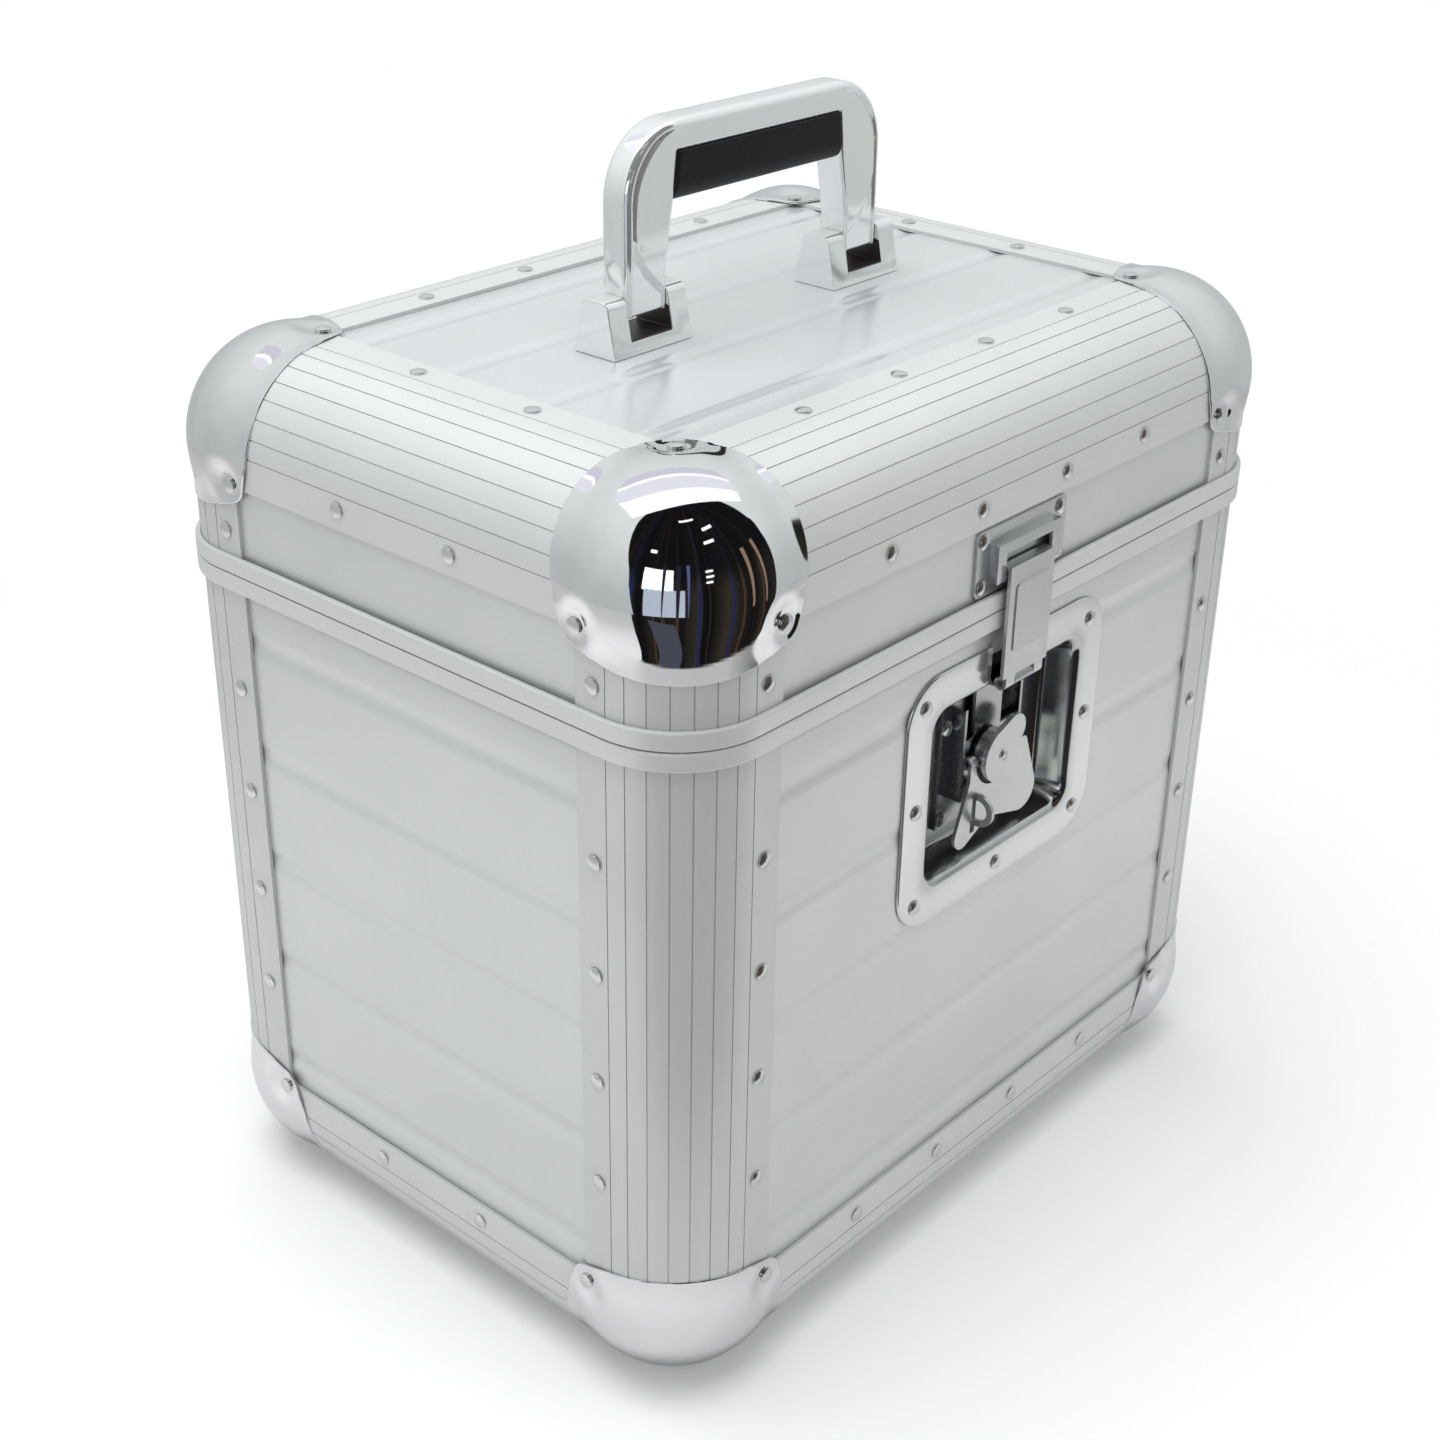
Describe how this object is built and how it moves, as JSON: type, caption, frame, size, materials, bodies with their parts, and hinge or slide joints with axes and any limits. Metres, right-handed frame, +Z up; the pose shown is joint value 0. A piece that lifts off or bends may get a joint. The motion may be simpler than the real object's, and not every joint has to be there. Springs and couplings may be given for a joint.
{
  "type": "aluminium-clad flight case",
  "caption": "Upright aluminium-clad carry case with ball corners, a hinged lid, a folding top handle and a recessed butterfly latch.",
  "frame": {"origin": "centre of the footprint, on the plane of the flats under the ball corners", "axes": "+X along the latch side to the right as seen from the latch side, +Y from the latch side to the hinge side, +Z up"},
  "size_m": [0.376, 0.2891, 0.4512],
  "materials": {
    "plywood": "bare plywood, grey-painted inside",
    "side_sheet": "satin rolled sheet with pressed grooves",
    "top_sheet": "smoother satin sheet, softly reflective",
    "rail_aluminium": "satin extrusion with fine grooves",
    "frame_aluminium": "satin extrusion",
    "corner_chrome": "pressed steel, bright chrome",
    "rivet_steel": "domed nickel-plated heads",
    "latch_chrome": "pressed steel, bright chrome",
    "spindle_chrome": "turned steel, chrome",
    "latch_steel": "zinc-plated pressed steel",
    "hinge_steel": "nickel-plated pressed steel",
    "pin_steel": "drawn steel wire",
    "lining_foam": "open-cell foam, dark grey",
    "handle_chrome": "cast, bright chrome",
    "grip_plastic": "matt black moulding"
  },
  "bodies": {
    "case": {"base_panel": "plywood", "front_panel": "plywood", "back_panel": "plywood", "left_panel": "plywood", "right_panel": "plywood", "base_skin": "side_sheet", "front_skin": "side_sheet", "back_skin": "side_sheet", "side_skins": "side_sheet", "post_front_left": "rail_aluminium", "post_front_right": "rail_aluminium", "post_back_left": "rail_aluminium", "post_back_right": "rail_aluminium", "base_rail_front": "rail_aluminium", "base_rail_back": "rail_aluminium", "base_rail_left": "rail_aluminium", "base_rail_right": "rail_aluminium", "body_frame": "frame_aluminium", "base_corner_front_left": "corner_chrome", "base_corner_front_right": "corner_chrome", "base_corner_back_left": "corner_chrome", "base_corner_back_right": "corner_chrome", "body_rivets": "rivet_steel", "latch_dish": "latch_chrome", "latch_plate": "latch_steel", "hinge_body_leaves": "hinge_steel", "hinge_pins": "pin_steel", "base_pad": "lining_foam"},
    "lid": {"lid_top_panel": "plywood", "lid_side_panels": "plywood", "lid_top_skin": "top_sheet", "lid_side_skins": "side_sheet", "lid_posts": "rail_aluminium", "lid_frame": "frame_aluminium", "lid_rivets": "rivet_steel", "catch_plate": "latch_chrome", "handle_base_left": "handle_chrome", "handle_base_right": "handle_chrome", "handle_pins": "pin_steel", "handle_screws": "pin_steel", "handle_backing_plates": "latch_steel", "hinge_lid_leaves": "hinge_steel", "lid_pad": "lining_foam", "top_rail_front": "rail_aluminium", "top_rail_back": "rail_aluminium", "top_rail_left": "rail_aluminium", "top_rail_right": "rail_aluminium", "top_corner_front_left": "corner_chrome", "top_corner_front_right": "corner_chrome", "top_corner_back_left": "corner_chrome", "top_corner_back_right": "corner_chrome"},
    "handle": {"handle_bow": "handle_chrome", "handle_grip": "grip_plastic"},
    "key": {"key_spindle": "spindle_chrome", "wing_pin": "pin_steel"},
    "wing": {"wing_plate": "latch_chrome"},
    "slide": {"hook_link": "latch_steel", "hook_pin": "pin_steel"},
    "hook": {"hook_strap": "latch_chrome"}
  },
  "joints": [
    {"name": "lid_hinge", "type": "hinge", "parent": "case", "child": "lid", "pos_m": [0, 0.1427, 0.28735], "axis": [-1, 0, 0], "range_deg": [0, 95]},
    {"name": "handle_fold", "type": "hinge", "parent": "lid", "child": "handle", "pos_m": [0, 0, 0.38725], "axis": [1, 0, 0], "range_deg": [-90, 90]},
    {"name": "key_turn", "type": "hinge", "parent": "case", "child": "key", "pos_m": [0, -0.137, 0.22035], "axis": [0, 1, 0], "range_deg": [0, 180]},
    {"name": "wing_flip", "type": "hinge", "parent": "key", "child": "wing", "pos_m": [0, -0.131, 0.22035], "axis": [-1, 0, 0], "range_deg": [0, 90]},
    {"name": "hook_lift", "type": "slide", "parent": "case", "child": "slide", "axis": [0, 0, 1], "range_m": [0, 0.005]},
    {"name": "hook_swing", "type": "hinge", "parent": "slide", "child": "hook", "pos_m": [0, -0.14, 0.25675], "axis": [1, 0, 0], "range_deg": [0, 110]}
  ],
  "couplings": [
    {"joint": "key_turn", "follows": "hook_lift", "rad_per_m": 628.32},
    {"joint": "wing_flip", "follows": "hook_lift", "rad_per_m": 314.16}
  ]
}
